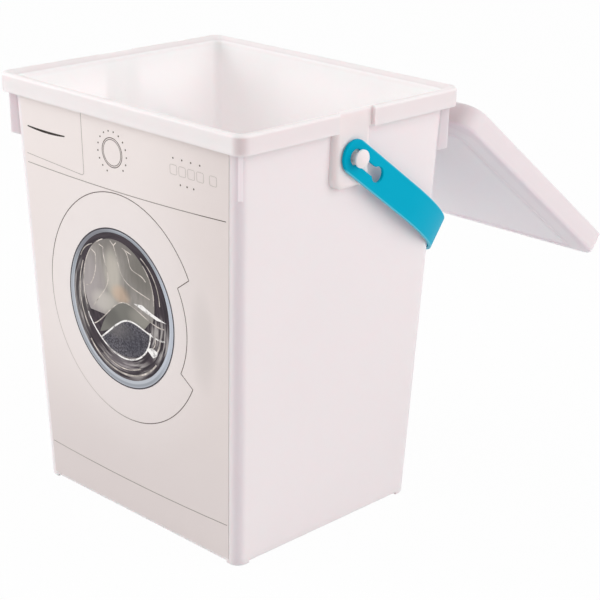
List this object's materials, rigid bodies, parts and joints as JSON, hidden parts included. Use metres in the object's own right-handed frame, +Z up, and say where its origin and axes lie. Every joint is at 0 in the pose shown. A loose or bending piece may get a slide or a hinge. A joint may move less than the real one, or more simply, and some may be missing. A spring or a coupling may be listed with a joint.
{
  "type": "detergent storage bucket",
  "caption": "Tapered rectangular storage bucket for washing powder with a printed washing-machine front, a hinged cap lid and a flat strap handle.",
  "frame": {"origin": "the middle of the plane that the four corner feet stand on", "axes": "+X along the printed front to its right as seen from the front, +Y from the front to the hinge at the rear, +Z up"},
  "size_m": [0.2112, 0.3198, 0.2497],
  "materials": {
    "white_plastic": "white polypropylene, smooth satin gloss",
    "lid_plastic": "white polypropylene, smooth satin gloss",
    "turquoise_plastic": "turquoise polypropylene, satin",
    "label_film": "printed film, satin",
    "grey_ink": "dark grey print",
    "black_ink": "black print",
    "bezel_ink": "blue-grey print",
    "glass_ink": "dark print",
    "drum_ink": "warm grey print",
    "lifter_ink": "grey print",
    "pool_ink": "slate grey print",
    "pale_ink": "pale grey print",
    "white_ink": "white print"
  },
  "bodies": {
    "bucket": {"bucket": "white_plastic", "front_label": "label_film", "print_lines": "grey_ink", "print_drawer_slot": "black_ink", "print_bezel": "bezel_ink", "print_bezel_edge": "black_ink", "print_glass": "glass_ink", "print_drum": "drum_ink", "print_lifter": "lifter_ink", "print_pool": "pool_ink", "print_fold_lines": "pale_ink", "print_gleams": "white_ink"},
    "lid": {"lid": "lid_plastic"},
    "handle": {"handle_strap": "turquoise_plastic"}
  },
  "joints": [
    {"name": "lid_hinge", "type": "hinge", "parent": "bucket", "child": "lid", "pos_m": [0, 0.0928, 0.2394], "axis": [1, 0, 0], "range_deg": [0, 218]},
    {"name": "handle_swing", "type": "hinge", "parent": "bucket", "child": "handle", "pos_m": [0, 0, 0.224], "axis": [1, 0, 0], "range_deg": [0, 20]}
  ]
}
